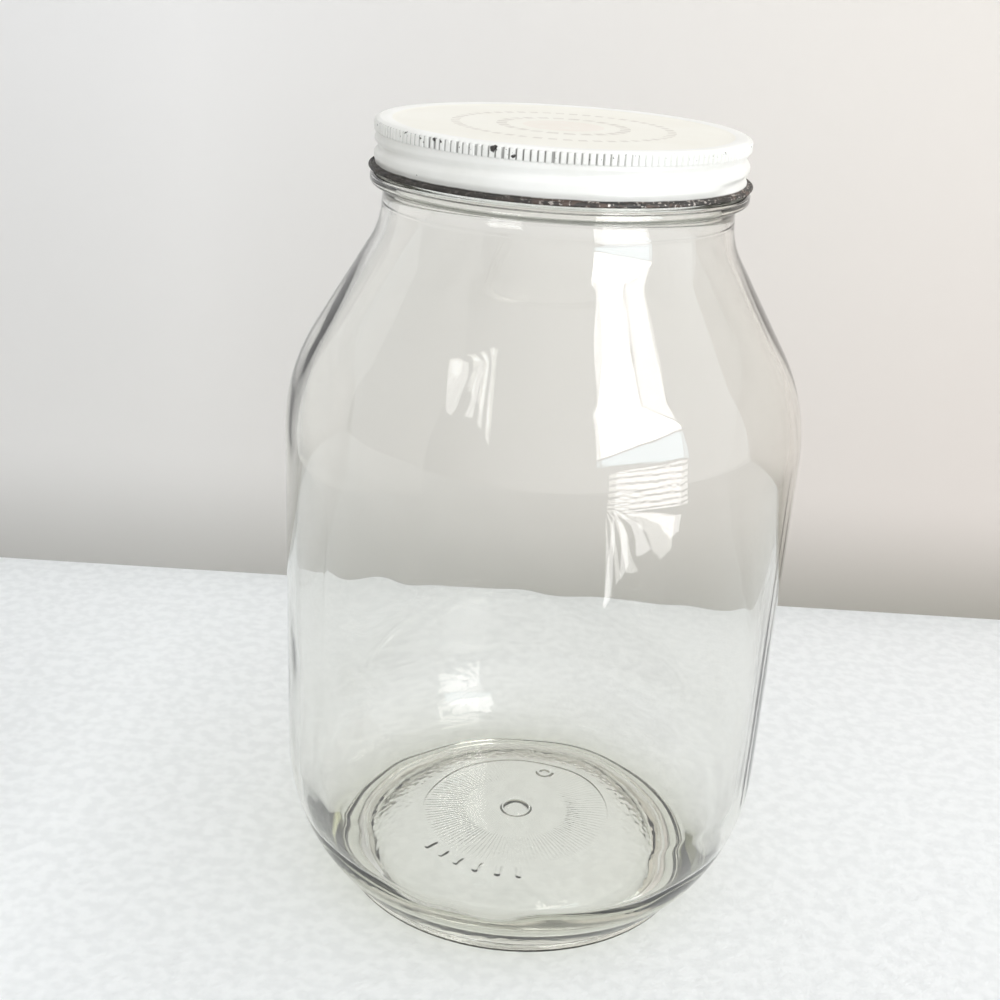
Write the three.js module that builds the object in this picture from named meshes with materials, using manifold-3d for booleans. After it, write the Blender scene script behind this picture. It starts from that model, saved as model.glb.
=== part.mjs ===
// A one-gallon mayonnaise jar: clear pressed and blown glass with a wide mouth, shut by a
// white enamelled screw lid. It stands empty on z = 0, with its axis on the Z axis.
// Lengths are millimetres, angles are radians unless a name says degrees, and +Z is up.

import * as THREE from 'three';
import { mergeVertices } from 'three/addons/utils/BufferGeometryUtils.js';
import Module from 'manifold-3d';

const wasm = await Module();
wasm.setup();

// Whole jar
const TOTAL_HEIGHT = 252;
const LID_HEIGHT = 15.2;
const TOUCH_GAP = 0.3;
const LID_BOTTOM = TOTAL_HEIGHT - LID_HEIGHT;

// Glass body: the widest ring, the heel below it and the neck above it
const WALL = 2.9;
const BELLY_RADIUS = 81.5;
const BELLY_HEIGHT = 157;
const BELLY_CURVE = 60;
const HEEL_TOP_RADIUS = 79.4;
const HEEL_TOP_HEIGHT = 46.5;
const HEEL_CURVE = 58.7;
const NECK_RADIUS = 53.2;
const NECK_CURVE = 25.5;
const NECK_FOOT_HEIGHT = 228.2;

// Glass base: the ring it stands on, the domed panel inside it and the domed floor above
const FOOT_RADIUS = 60;
const FOOT_BAND_HEIGHT = 4.2;
const FOOT_ROUND = 1.5;
const FOOT_ROUND_END = -0.2;
const BEARING_WIDTH = 3.5;
const BEARING_INNER = FOOT_RADIUS - FOOT_ROUND - BEARING_WIDTH;
const PANEL_CROWN = 14.5;
const PANEL_POWER = 6;
const PANEL_FACETS = [24, 35, 43, 50, BEARING_INNER];
const FLOOR_HEIGHT = 12.5;
const FLOOR_EDGE_CURVE = 17;
const FLOOR_LEAN = 0.34;
const FLOOR_POWER = 3;
const FLOOR_STEPS = 3;

// Marks pressed into the underside: a ring in the middle, a small disc and a row of bars
const MARK_DEPTH = 0.5;
const MARK_ROOT = 1;
const CENTRE_RING_RADIUS = 5.4;
const CENTRE_RING_WIDTH = 1;
const CENTRE_RING_SLOPE = 0.4;
const DISC_MARK_RADIUS = 3.2;
const DISC_MARK_REACH = 26;
const DISC_MARK_DEGREES = 68;
const BAR_COUNT = 6;
const BAR_REACH = 35;
const BAR_LENGTH = 5.5;
const BAR_WIDTH = 2.2;
const BAR_START_DEGREES = -141;
const BAR_STEP_DEGREES = 11;

// Glass finish: the bead under the lid, the threaded wall and the lip
const BEAD_RADIUS = 57;
const BEAD_BOTTOM = 232.8;
const BEAD_TOP = LID_BOTTOM - TOUCH_GAP;
const BEAD_ROUND = 1.4;
const BEAD_FILLET = 0.6;
const FINISH_RADIUS = 52.6;
const FINISH_FILLET = 0.4;
const BORE_RADIUS = 49;
const LIP_ROUND = 1.5;

// Lid: enamelled tinplate with a fluted edge, a rolled thread and a curled rim
const SHEET = 0.6;
const LID_RADIUS = 55.5;
const LID_EDGE_CURVE = 1.4;
const LID_PANEL_RADIUS = 50.4;
const LID_RIM_RADIUS = 51.6;
const LID_PANEL_DROP = 0.5;
const CURL_TUBE = 0.85;
const CURL_OUTER_RADIUS = 57.6;
const CURL_RADIUS = CURL_OUTER_RADIUS - CURL_TUBE;
const CURL_HEIGHT = LID_BOTTOM + CURL_TUBE;
const CURL_START_DEGREES = 146;
const CURL_END_DEGREES = -140;

// Fluted band round the lid's edge
const FLUTE_COUNT = 180;
const FLUTE_CREST = 56.15;
const FLUTE_ROOT = LID_RADIUS + 0.1;
const FLUTE_BOTTOM = TOTAL_HEIGHT - 3.8;
const FLUTE_TOP = TOTAL_HEIGHT - 0.5;
const FLUTE_SLOPE = 0.6;

// Thread: one helix that the lid's groove follows, and the glass thread half a pitch above
const THREAD_PITCH = 5.08;
const THREAD_START_DEGREES = -42;
const THREAD_TURNS = 1.16;
const THREAD_START_HEIGHT = TOTAL_HEIGHT - 11.5;
const THREAD_RUNOUT_DEGREES = 16;
const GROOVE_DEPTH = 1.2;
const GROOVE_CURVE = 2;
const GLASS_THREAD_CREST = 54.1;
const GLASS_THREAD_CURVE = 1.2;

// Facets
const JAR_SEGMENTS = 48;
const LID_SEGMENTS = 48;
const OUTER_SIDE_STEPS = 6;
const INNER_SIDE_STEPS = 4;
const ROUND_STEPS = 2;
const FLOOR_EDGE_STEPS = 3;
const CURL_STEPS = 6;
const DISC_SIDES = 16;
const ROD_SIDES = 6;
const DEGREE = Math.PI / 180;

const point = (radius, height) => new THREE.Vector2(radius, height);

// Points on a circle of the outline. A hollow curve has a radius below zero, so that its
// angles too are those of the glass surface's outward side.
function arc(circle, fromAngle, toAngle, steps) {
  const points = [];
  for (let i = 0; i <= steps; i += 1) {
    const angle = fromAngle + (toAngle - fromAngle) * i / steps;
    points.push(point(
      circle.x + circle.radius * Math.cos(angle),
      circle.z + circle.radius * Math.sin(angle),
    ));
  }
  return points;
}

// Outward angle of the straight line that touches two circles of the outline.
function tangentAngle(lower, upper) {
  const dx = upper.x - lower.x;
  const dz = upper.z - lower.z;
  const reach = Math.hypot(dx, dz);
  return Math.atan2(dz, dx) - Math.acos((lower.radius - upper.radius) / reach);
}

// The jar's side from heel to neck, at a depth below the outer surface of the glass.
function sideCurves(depth) {
  const heel = {
    x: HEEL_TOP_RADIUS - HEEL_CURVE,
    z: HEEL_TOP_HEIGHT,
    radius: HEEL_CURVE - depth,
  };
  const belly = {
    x: BELLY_RADIUS - BELLY_CURVE,
    z: BELLY_HEIGHT,
    radius: BELLY_CURVE - depth,
  };
  const neck = {
    x: NECK_RADIUS + NECK_CURVE,
    z: NECK_FOOT_HEIGHT,
    radius: -NECK_CURVE - depth,
  };
  return { heel, belly, neck };
}

function sideOutline(depth, startHeight, steps) {
  const neckSteps = steps - 2;
  const { heel, belly, neck } = sideCurves(depth);
  const startAngle = Math.asin((startHeight - heel.z) / heel.radius);
  const bodyAngle = tangentAngle(heel, belly);
  const shoulderAngle = tangentAngle(belly, neck);
  return [
    ...arc(heel, startAngle, bodyAngle, steps),
    ...arc(belly, bodyAngle, shoulderAngle, steps),
    ...arc(neck, shoulderAngle, 0, neckSteps),
  ];
}

// Turns an outline of radius and height about the Z axis.
function turned(outline, segments) {
  return new THREE.LatheGeometry(outline, segments).rotateX(Math.PI / 2);
}

function solid(geometry) {
  geometry.deleteAttribute('normal');
  geometry.deleteAttribute('uv');
  const merged = mergeVertices(geometry);
  return new wasm.Manifold(new wasm.Mesh({
    numProp: 3,
    vertProperties: merged.attributes.position.array,
    triVerts: Uint32Array.from(merged.index.array),
  }));
}

function geometryOf(manifold) {
  const { vertProperties, triVerts } = manifold.getMesh();
  const geometry = new THREE.BufferGeometry();
  geometry.setAttribute('position', new THREE.BufferAttribute(vertProperties, 3));
  geometry.setIndex(new THREE.BufferAttribute(triVerts, 1));
  geometry.computeVertexNormals();
  return geometry;
}

// The helix of the thread. Its ends run out sideways, by the given distance.
class ThreadPath extends THREE.Curve {
  constructor(radius, rise, runout) {
    super();
    this.radius = radius;
    this.rise = rise;
    this.runout = runout;
  }

  getPoint(t, target = new THREE.Vector3()) {
    const swept = t * THREAD_TURNS * 360;
    const toEnd = Math.min(swept, THREAD_TURNS * 360 - swept);
    const fade = 1 - THREE.MathUtils.smoothstep(toEnd, 0, THREAD_RUNOUT_DEGREES);
    const radius = this.radius + this.runout * fade;
    const angle = (THREAD_START_DEGREES + swept) * DEGREE;
    const height = THREAD_START_HEIGHT + this.rise + THREAD_PITCH * swept / 360;
    return target.set(radius * Math.cos(angle), radius * Math.sin(angle), height);
  }
}

// A round rod along the thread's helix.
function threadRod(pathRadius, rodRadius, rise, runout) {
  const section = new THREE.Shape(
    arc({ x: 0, z: 0, radius: rodRadius }, 0, (1 - 1 / ROD_SIDES) * 2 * Math.PI, ROD_SIDES - 1),
  );
  const rod = new THREE.ExtrudeGeometry(section, {
    steps: Math.round(THREAD_TURNS * LID_SEGMENTS),
    extrudePath: new ThreadPath(pathRadius, rise, runout),
  });
  return solid(rod);
}

// Height of the underside's dome at a distance from the axis, inside its bearing ring.
function panelHeight(radius) {
  return PANEL_CROWN * (1 - (radius / BEARING_INNER) ** PANEL_POWER);
}

function baseOutline() {
  const ringInner = CENTRE_RING_RADIUS - CENTRE_RING_WIDTH;
  const footRound = { x: FOOT_RADIUS - FOOT_ROUND, z: FOOT_ROUND, radius: FOOT_ROUND };
  return [
    point(0, PANEL_CROWN),
    point(ringInner, PANEL_CROWN),
    point(ringInner, PANEL_CROWN - MARK_DEPTH),
    point(CENTRE_RING_RADIUS, PANEL_CROWN - MARK_DEPTH),
    point(CENTRE_RING_RADIUS + CENTRE_RING_SLOPE, PANEL_CROWN),
    ...PANEL_FACETS.map((radius) => point(radius, panelHeight(radius))),
    ...arc(footRound, -Math.PI / 2, FOOT_ROUND_END, ROUND_STEPS),
  ];
}

// From the neck up over the bead, the finish and the lip, and down the bore.
function finishOutline() {
  const lipTop = TOTAL_HEIGHT - LID_PANEL_DROP - SHEET - TOUCH_GAP;
  const beadX = BEAD_RADIUS - BEAD_ROUND;
  const beadLower = { x: beadX, z: BEAD_BOTTOM + BEAD_ROUND, radius: BEAD_ROUND };
  const beadUpper = { x: beadX, z: BEAD_TOP - BEAD_ROUND, radius: BEAD_ROUND };
  const lipOuter = { x: FINISH_RADIUS - LIP_ROUND, z: lipTop - LIP_ROUND, radius: LIP_ROUND };
  const lipInner = { x: BORE_RADIUS + LIP_ROUND, z: lipTop - LIP_ROUND, radius: LIP_ROUND };
  return [
    point(NECK_RADIUS, BEAD_BOTTOM - BEAD_FILLET),
    point(NECK_RADIUS + BEAD_FILLET, BEAD_BOTTOM),
    ...arc(beadLower, -Math.PI / 2, 0, ROUND_STEPS),
    ...arc(beadUpper, 0, Math.PI / 2, ROUND_STEPS),
    point(FINISH_RADIUS, BEAD_TOP + FINISH_FILLET),
    ...arc(lipOuter, 0, Math.PI / 2, ROUND_STEPS),
    ...arc(lipInner, Math.PI / 2, Math.PI, ROUND_STEPS),
    point(BORE_RADIUS, BEAD_BOTTOM),
  ];
}

// The domed floor inside, from its rim to the axis. It leaves the rim at the floor's lean.
function floorDome(rim) {
  const rise = rim.x * Math.tan(FLOOR_LEAN) / FLOOR_POWER;
  const points = [];
  for (let i = FLOOR_STEPS - 1; i >= 0; i -= 1) {
    const share = i / FLOOR_STEPS;
    points.push(point(rim.x * share, rim.y + rise * (1 - share ** FLOOR_POWER)));
  }
  return points;
}

// The inner surface from the neck down to the floor. The floor's edge is a small curve
// that touches the floor and the heel's inner curve.
function insideOutline() {
  const { heel } = sideCurves(WALL);
  const edge = { z: FLOOR_HEIGHT + FLOOR_EDGE_CURVE, radius: FLOOR_EDGE_CURVE };
  const reach = heel.radius - FLOOR_EDGE_CURVE;
  edge.x = heel.x + Math.sqrt(reach ** 2 - (heel.z - edge.z) ** 2);
  const meetAngle = Math.atan2(edge.z - heel.z, edge.x - heel.x);
  const meetHeight = edge.z + FLOOR_EDGE_CURVE * Math.sin(meetAngle);
  const floorEdge = arc(edge, meetAngle, -Math.PI / 2 - FLOOR_LEAN, FLOOR_EDGE_STEPS);
  return [
    ...sideOutline(WALL, meetHeight, INNER_SIDE_STEPS).reverse(),
    ...floorEdge.slice(1),
    ...floorDome(floorEdge.at(-1)),
  ];
}

// A raised mark of the underside, placed at a distance from the axis and an angle, and
// tilted to the slope of the dome there.
function baseMark(shape, reach, degrees) {
  const mark = new THREE.Mesh(shape);
  const angle = degrees * DEGREE;
  const tilt = Math.atan((panelHeight(reach - 1) - panelHeight(reach + 1)) / 2);
  const middle = panelHeight(reach) + (MARK_ROOT - MARK_DEPTH) / 2;
  mark.position.set(reach * Math.cos(angle), reach * Math.sin(angle), middle);
  mark.rotation.set(0, tilt, angle, 'ZYX');
  mark.updateMatrixWorld();
  return solid(shape.applyMatrix4(mark.matrixWorld));
}

function makeJar() {
  const outline = [
    ...baseOutline(),
    ...sideOutline(0, FOOT_BAND_HEIGHT, OUTER_SIDE_STEPS),
    ...finishOutline(),
    ...insideOutline(),
  ];
  const threadRadius = GLASS_THREAD_CREST - GLASS_THREAD_CURVE;
  const markHeight = MARK_DEPTH + MARK_ROOT;
  let jar = solid(turned(outline, JAR_SEGMENTS));
  jar = jar.add(threadRod(threadRadius, GLASS_THREAD_CURVE, THREAD_PITCH / 2, -GROOVE_DEPTH));
  const disc = new THREE.CylinderGeometry(
    DISC_MARK_RADIUS,
    DISC_MARK_RADIUS,
    markHeight,
    DISC_SIDES,
  );
  jar = jar.add(baseMark(disc.rotateX(Math.PI / 2), DISC_MARK_REACH, DISC_MARK_DEGREES));
  for (let i = 0; i < BAR_COUNT; i += 1) {
    const bar = new THREE.BoxGeometry(BAR_LENGTH, BAR_WIDTH, markHeight);
    jar = jar.add(baseMark(bar, BAR_REACH, BAR_START_DEGREES + i * BAR_STEP_DEGREES));
  }
  return geometryOf(jar);
}

// The outside of the lid, closed below by the curl's own bottom.
function lidOutside() {
  const edge = {
    x: LID_RADIUS - LID_EDGE_CURVE,
    z: TOTAL_HEIGHT - LID_EDGE_CURVE,
    radius: LID_EDGE_CURVE,
  };
  const curl = { x: CURL_RADIUS, z: CURL_HEIGHT, radius: CURL_TUBE };
  return [
    point(0, CURL_HEIGHT),
    ...arc(curl, CURL_END_DEGREES * DEGREE, CURL_START_DEGREES * DEGREE, CURL_STEPS),
    point(LID_RADIUS, CURL_HEIGHT + CURL_TUBE),
    ...arc(edge, 0, Math.PI / 2, ROUND_STEPS),
    point(LID_RIM_RADIUS, TOTAL_HEIGHT),
    point(LID_PANEL_RADIUS, TOTAL_HEIGHT - LID_PANEL_DROP),
    point(0, TOTAL_HEIGHT - LID_PANEL_DROP),
  ];
}

// The space inside the lid, which reaches below it so that the cut is open.
function lidInside() {
  const inner = LID_RADIUS - SHEET;
  const top = TOTAL_HEIGHT - SHEET;
  return [
    point(0, LID_BOTTOM - CURL_TUBE),
    point(inner, LID_BOTTOM - CURL_TUBE),
    point(inner, top - LID_EDGE_CURVE + SHEET),
    point(inner - LID_EDGE_CURVE + SHEET, top),
    point(LID_RIM_RADIUS, top),
    point(LID_PANEL_RADIUS, top - LID_PANEL_DROP),
    point(0, top - LID_PANEL_DROP),
  ];
}

// The fluted ring: at each flute the radius steps out to the crest and back to the root.
function fluteRing() {
  const inner = LID_RADIUS - SHEET / 2;
  const columns = FLUTE_COUNT * 2;
  const corners = [];
  for (let column = 0; column < columns; column += 1) {
    const angle = column / columns * 2 * Math.PI;
    const outer = column % 2 === 0 ? FLUTE_CREST : FLUTE_ROOT;
    const outline = [
      point(inner, FLUTE_BOTTOM),
      point(outer, FLUTE_BOTTOM),
      point(outer, FLUTE_TOP - FLUTE_SLOPE),
      point(LID_RADIUS - FLUTE_SLOPE, FLUTE_TOP),
    ];
    for (const corner of outline) {
      corners.push(corner.x * Math.cos(angle), corner.x * Math.sin(angle), corner.y);
    }
  }
  const ring = 4;
  const faces = [];
  for (let column = 0; column < columns; column += 1) {
    for (let i = 0; i < ring; i += 1) {
      const a = column * ring + i;
      const b = column * ring + (i + 1) % ring;
      const c = ((column + 1) % columns) * ring + i;
      const d = ((column + 1) % columns) * ring + (i + 1) % ring;
      faces.push(a, c, b, b, c, d);
    }
  }
  return new wasm.Manifold(new wasm.Mesh({
    numProp: 3,
    vertProperties: Float32Array.from(corners),
    triVerts: Uint32Array.from(faces),
  }));
}

// The groove outside and the ridge inside are the two faces of one rolled thread.
function makeLid() {
  const pathRadius = LID_RADIUS - GROOVE_DEPTH + GROOVE_CURVE;
  const ridge = threadRod(pathRadius, GROOVE_CURVE + SHEET, 0, GROOVE_DEPTH);
  const groove = threadRod(pathRadius, GROOVE_CURVE, 0, GROOVE_DEPTH);
  const cavity = solid(turned(lidInside(), LID_SEGMENTS)).subtract(ridge);
  const shell = solid(turned(lidOutside(), LID_SEGMENTS)).add(fluteRing());
  return geometryOf(shell.subtract(cavity).subtract(groove));
}

const glass = new THREE.MeshStandardMaterial({
  color: '#dde2da',
  roughness: 0.05,
  metalness: 0,
  transparent: true,
  opacity: 0.35,
});
const enamel = new THREE.MeshStandardMaterial({
  color: '#efefe8',
  roughness: 0.3,
  metalness: 0,
});

function piece(name, geometry, material) {
  const mesh = new THREE.Mesh(geometry, material);
  mesh.name = name;
  return mesh;
}

const mayonnaiseJar = new THREE.Group();
mayonnaiseJar.add(piece('glass_jar', makeJar(), glass));
mayonnaiseJar.add(piece('screw_lid', makeLid(), enamel));

export default mayonnaiseJar;
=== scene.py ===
"""The looks of an empty one-gallon mayonnaise jar: clear glass and a white enamelled screw lid.

Lengths are metres and angles radians, unless a name says degrees. The jar stands on z = 0
with its axis on the Z axis, and the camera looks at it along +Y.
"""

import math
import random

import bpy
import numpy as np
from mathutils import Matrix, Vector


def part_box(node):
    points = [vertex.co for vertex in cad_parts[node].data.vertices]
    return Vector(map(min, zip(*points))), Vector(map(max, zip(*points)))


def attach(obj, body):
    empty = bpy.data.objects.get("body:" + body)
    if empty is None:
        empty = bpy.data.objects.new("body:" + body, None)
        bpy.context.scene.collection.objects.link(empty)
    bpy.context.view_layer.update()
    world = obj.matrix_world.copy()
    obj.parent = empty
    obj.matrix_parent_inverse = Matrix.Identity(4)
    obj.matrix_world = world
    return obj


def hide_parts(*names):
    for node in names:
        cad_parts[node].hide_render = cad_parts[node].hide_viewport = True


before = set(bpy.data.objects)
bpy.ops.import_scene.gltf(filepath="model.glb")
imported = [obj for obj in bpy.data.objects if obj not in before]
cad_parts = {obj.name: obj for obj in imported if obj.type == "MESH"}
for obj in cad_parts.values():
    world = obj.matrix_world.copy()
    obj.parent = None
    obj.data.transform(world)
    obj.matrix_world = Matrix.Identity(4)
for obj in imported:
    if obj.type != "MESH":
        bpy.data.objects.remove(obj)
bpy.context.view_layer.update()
_, glass_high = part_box("glass_jar")
lid_low, lid_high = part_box("screw_lid")

MM = 0.001
DEGREE = math.pi / 180

# Whole jar, from the boxes of its parts in model.glb
TOTAL_HEIGHT = lid_high.z
LID_BOTTOM = lid_low.z
GLASS_TOP = glass_high.z

# Side of the glass: the heel, the belly and the neck, as circles of the outline
GLASS_COLUMNS = 360
WALL = 2.9 * MM
BELLY_RADIUS = 81.45 * MM
BELLY_HEIGHT = 157 * MM
BELLY_CURVE = 60 * MM
HEEL_TOP_RADIUS = 79.4 * MM
HEEL_TOP_HEIGHT = 46.5 * MM
HEEL_CURVE = 58.7 * MM
NECK_RADIUS = 53.2 * MM
NECK_CURVE = 25.5 * MM
NECK_FOOT_HEIGHT = 228.2 * MM

# Base of the glass
FOOT_RADIUS = 60 * MM
FOOT_BAND_HEIGHT = 4.2 * MM
FOOT_ROUND = 1.5 * MM
BEARING_WIDTH = 3.5 * MM
BEARING_INNER = FOOT_RADIUS - FOOT_ROUND - BEARING_WIDTH
BEARING_EASE = 2 * MM
PANEL_CROWN = 14.5 * MM
PANEL_POWER = 6
PANEL_STEP_RADIUS = 31.5 * MM
PANEL_STEP = 0.08 * MM
FLOOR_POWER = 3
FLOOR_HEIGHT = 12.5 * MM
FLOOR_EDGE_CURVE = 17 * MM
FLOOR_LEAN = 0.34
CENTRE_RING_RADIUS = 4.9 * MM
CENTRE_RING_WIDTH = 1 * MM
MARK_DEPTH = 0.5 * MM
MARK_EDGE = 0.8 * MM
DISC_MARK_RADIUS = 3.2 * MM
DISC_MARK_HOLE = 1.2 * MM
DISC_MARK_REACH = 26 * MM
DISC_MARK_DEGREES = 68
BAR_COUNT = 6
BAR_REACH = 35 * MM
BAR_LENGTH = 5.5 * MM
BAR_WIDTH = 2.2 * MM
BAR_EDGE = 0.7 * MM
BAR_START_DEGREES = -141
BAR_STEP_DEGREES = 11

# Small unevenness of the glass. A wander has a share, times round the jar and a phase.
SEAM_HEIGHT = 0.07 * MM
SEAM_WIDTH = 1.6 * MM
SEAM_DEGREES = (-17, 163)
NECK_SEAM_HEIGHT = 227.3 * MM
NECK_SEAM = 0.15 * MM
NECK_SEAM_WIDTH = 0.5 * MM
FLOOR_WOBBLE = 1.2 * MM
FLOOR_WANDER = ((1, 3, 0.7), (0.7, 7, 2.1), (0.5, 11, 0.3), (0.3, 17, 4.0))
FLOOR_WOBBLE_FADE = (18 * MM, 28 * MM)
FLOOR_WOBBLE_START = (44 * MM, 54 * MM)
WAVE_START = (12 * MM, 42 * MM)
WAVE_END = (185 * MM, 225 * MM)
SKIN_WAVE_SHARE = 0.5

# Finish of the glass: bead, threaded wall and lip
BEAD_RADIUS = 57 * MM
BEAD_BOTTOM = 232.8 * MM
BEAD_TOP = LID_BOTTOM - 0.3 * MM
BEAD_ROUND = 1.4 * MM
BEAD_SEAM = 0.18 * MM
BEAD_SEAM_RISE = 2.6 * MM
BEAD_SEAM_WIDTH = 0.4 * MM
FINISH_RADIUS = 52.6 * MM
BORE_RADIUS = 49 * MM
LIP_ROUND = 1.5 * MM

# Lid
SHEET = 0.6 * MM
LID_RADIUS = 55.5 * MM
LID_EDGE_CURVE = 1.4 * MM
LID_PANEL_RADIUS = 50.4 * MM
LID_RIM_RADIUS = 51.6 * MM
LID_PANEL_DROP = 0.5 * MM
CURL_TUBE = 0.6 * MM
CURL_RADIUS = 56.9 * MM
CURL_HEIGHT = LID_BOTTOM + 1.08 * MM
CURL_START_DEGREES = 146
CURL_END_DEGREES = -140

# Fluted band of the lid
FLUTE_COUNT = 180
FLUTE_CREST = 56.15 * MM
FLUTE_BOTTOM = TOTAL_HEIGHT - 3.8 * MM
FLUTE_TOP = TOTAL_HEIGHT - 0.5 * MM
FLUTE_STEPS = 5
FLUTE_SHARE = 0.75
LID_COLUMNS = FLUTE_COUNT * FLUTE_STEPS

# Thread, shared by the lid's groove and the glass under it
THREAD_PITCH = 5.08 * MM
THREAD_START_DEGREES = -42
THREAD_TURNS = 1.16
THREAD_START_HEIGHT = TOTAL_HEIGHT - 11.5 * MM
THREAD_RUNOUT_DEGREES = 16
GROOVE_DEPTH = 1.2 * MM
SKIRT_SWELL = 0.45 * MM
GROOVE_HALF_WIDTH = 2.1 * MM
GLASS_THREAD_DEPTH = 1.4 * MM
GLASS_THREAD_HALF_WIDTH = 1.3 * MM

# Camera
CAMERA_DISTANCE = 456.8 * MM
CAMERA_HEIGHT = 304.5 * MM
CAMERA_LENS_MM = 54
CAMERA_YAW_DEGREES = -1.52
CAMERA_PITCH_DEGREES = 20.74
CAMERA_ROLL_DEGREES = 3.49

# Floor, backdrop, shade card and soft light all round
STAGE_HALF = 2000 * MM
BACKDROP_FOOT = -100 * MM
FLOOR_GAP = 0.1 * MM
BACKDROP_DEPTH = 224 * MM
BACKDROP_TURN_DEGREES = 1.3
CARD_SIDE = -165 * MM
CARD_NEAR = -190 * MM
CARD_FAR = 50 * MM
CARD_BOTTOM = 110 * MM
CARD_TOP = 360 * MM
CARD_GREY = (0.36, 0.355, 0.335)
CARD_MIRRORED_GLOW = 0.8
SKY_SIDE = (0.80, -0.52, 0.30)
SKY_DIM = 0.10
SKY_BRIGHT = 1.70
SKY_REACH = (-0.8, 0.95)
SKY_COLOUR = (0.985, 0.995, 1, 1)

# Light panel: its place round the jar, then what glows on it, across it and up it
PANEL_LIGHT_DEGREES = -45
PANEL_LIGHT_DISTANCE = 300 * MM
PANE_LEFT = -122 * MM
PANE_LEFT_HIGH = -78 * MM
PANE_NARROWS = (380 * MM, 460 * MM)
PANE_RIGHT = 68 * MM
PANE_BOTTOM = 263 * MM
PANE_TOP = 640 * MM
PANE_GLOW = 9
PANE_EDGE = 2 * MM
HAZE_START = 290 * MM
HAZE_SLOPE = 1.0
HAZE_REACH = 74 * MM
HAZE_TOP = 500 * MM
HAZE_FADE = 20 * MM
HAZE_GAP = (3 * MM, 9 * MM)
HAZE_GAP_GLOW = 0.35
HAZE_GLOW = 5.5
BAR_SLOPE = 0.19
STRIP_TOP = 258 * MM
STRIP_BOTTOM = 210 * MM
STRIP_SLOPE = 0.075
STRIP_GLOW = 5
STRIP_COLOUR = (0.80, 0.92, 1.0)
FOLDS_LEFT = -92 * MM
FOLDS_RIGHT = 58 * MM
FOLDS_BOTTOM = 100 * MM
FOLDS_TOP = 200 * MM
FOLDS_PITCH = 15 * MM
FOLDS_LOOSE = 22 * MM
FOLDS_SCALE = 30.0
FOLD_CREASE = (-0.75, -0.35)
FAN_CENTRE = (-98 * MM, 106 * MM)
FAN_PITCH_DEGREES = 22
FAN_CREASE = (-0.3, 0.1)
FAN_RIGHT = 54 * MM
FAN_LOW_EDGES = ((0.1, 47 * MM), (0.59, 67 * MM))
FOLD_GLOW = 6
PANEL_RAGGED = 22 * MM
RAGGED_SCALE = 16.0

# Look of the glass
GLASS_TINT = (0.50, 0.505, 0.33, 1)
GLASS_DENSITY = 20
GLASS_IOR = 1.52
SOFT_CLEAR = (0.995, 0.995, 0.99, 1)
STIPPLE_DEPTH = 0.15 * MM
RIB_SHARE = 0.5
DOT_SHARE = 0.4
RIB_DOT_SHARE = 0.4
INNER_STIPPLE = (18 * MM, 30.5 * MM)
OUTER_STIPPLE = (36 * MM, 51 * MM)
INNER_RIBS = 120

# Look of the lid. A chip has an angle in degrees, a height and a size.
ENAMEL_WHITE = (0.90, 0.90, 0.875)
ENAMEL_DULL = (0.84, 0.84, 0.805)
PANEL_CREAM = (0.88, 0.865, 0.79)
PANEL_DULL = (0.86, 0.84, 0.76)
PRINT_GREY = (0.42, 0.37, 0.32)
PRINT_ROSE = (0.72, 0.45, 0.38)
PRINT_STRENGTH = 0.45
DISC_STRENGTH = 0.14
PRINT_DISC = 12 * MM
INNER_DASHES = (17 * MM, 20 * MM)
INNER_DASH_COUNT = 24
OUTER_DASHES = (31 * MM, 33.5 * MM)
OUTER_DASH_COUNT = 48
INNER_DASH_SHARE = 0.7
OUTER_DASH_SHARE = 0.62
DASH_EDGE = 0.15 * MM
DASH_END = 0.05
PEEL_DEPTH = 0.003 * MM
# Dark grey of the flute slots: partly dirt, partly painted shade between the ribs. Painted
# glare fades it out on the lit side.
FLUTE_DIRT_AND_SHADE = (0.27, 0.27, 0.258)
GLARE_DEGREES = -15
GLARE_REACH = (22 * MM, 40 * MM)
# Reach over which the curl's rust and bright specks grow towards the lit side: partly wear,
# partly painted light.
CURL_WEAR_AND_LIGHT_REACH = (-10 * MM, 25 * MM)
# Near-black painted shade in the crevice between the skirt and the curl.
CREVICE_PAINTED_SHADE = (0.05, 0.045, 0.04)
CHIP_IRON = (0.035, 0.032, 0.03)
CHIP_RAGGED = 1.8 * MM
CHIPS = (
    (-141, TOTAL_HEIGHT - 0.9 * MM, 0.5 * MM),
    (-134, TOTAL_HEIGHT - 1.4 * MM, 0.6 * MM),
    (-128.5, TOTAL_HEIGHT - 1.2 * MM, 1.0 * MM),
    (-126, TOTAL_HEIGHT - 1.6 * MM, 0.5 * MM),
    (-109, TOTAL_HEIGHT - 1.2 * MM, 1.2 * MM),
    (-106.5, TOTAL_HEIGHT - 2.2 * MM, 0.6 * MM),
    (-103, TOTAL_HEIGHT - 2.8 * MM, 0.7 * MM),
    (-66, TOTAL_HEIGHT - 5.8 * MM, 0.5 * MM),
    (-36, TOTAL_HEIGHT - 1.2 * MM, 0.45 * MM),
)
CURL_BLACK = (0.012, 0.011, 0.010)
CURL_BROWN = (0.032, 0.027, 0.023)
CURL_RUST = (0.085, 0.058, 0.046)
CURL_BRIGHT = (0.42, 0.39, 0.36)
PIT_DEPTH = 0.05 * MM

# Look of the floor and the backdrop
FLOOR_WHITE = (0.885, 0.905, 0.915)
FLOOR_SHADE = (0.83, 0.85, 0.86)
FLEECE_DEPTH = 0.5 * MM
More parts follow.
